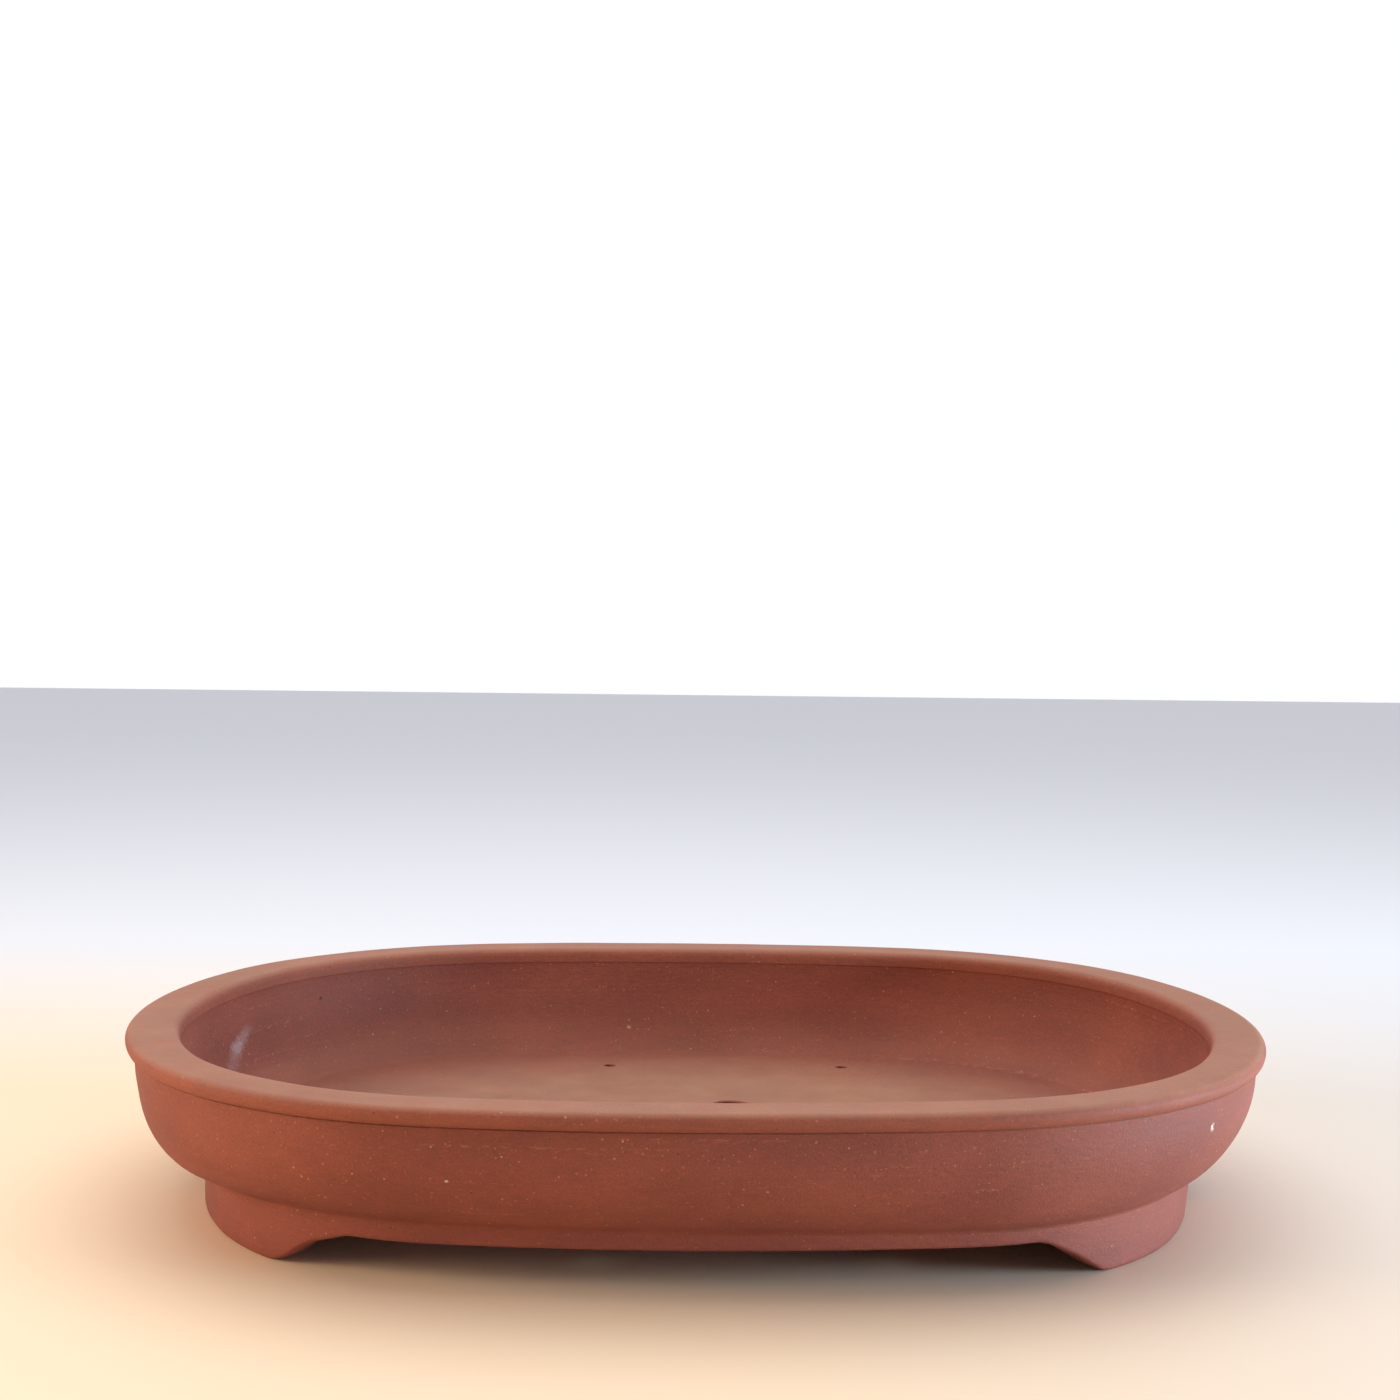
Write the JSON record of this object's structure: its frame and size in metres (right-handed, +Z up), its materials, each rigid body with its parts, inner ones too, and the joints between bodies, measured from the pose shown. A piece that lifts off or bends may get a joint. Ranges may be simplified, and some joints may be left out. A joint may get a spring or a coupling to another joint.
{
  "type": "bonsai pot",
  "caption": "Shallow oval bonsai training pot in unglazed red-brown stoneware, with a flat overhanging rim, a round belly, drain and wire holes and a low foot ring cut into arches.",
  "frame": {"origin": "on the table under the middle of the pot, level with the undersides of the feet", "axes": "+X along the length, towards the right end seen from the front; +Y towards the back; +Z up"},
  "size_m": [0.456, 0.3558, 0.07],
  "materials": {
    "rim_clay": "unglazed stoneware, dusty and worn paler on top",
    "wall_clay": "unglazed stoneware, matte, fine grog",
    "floor_clay": "unglazed stoneware, matte, sponged smooth",
    "foot_clay": "unglazed stoneware, matte, fine grog"
  },
  "bodies": {
    "root": {"rim": "rim_clay", "wall": "wall_clay", "floor": "floor_clay", "foot_band": "foot_clay", "front_left_foot": "foot_clay", "front_right_foot": "foot_clay", "back_left_foot": "foot_clay", "back_right_foot": "foot_clay"}
  },
  "joints": []
}
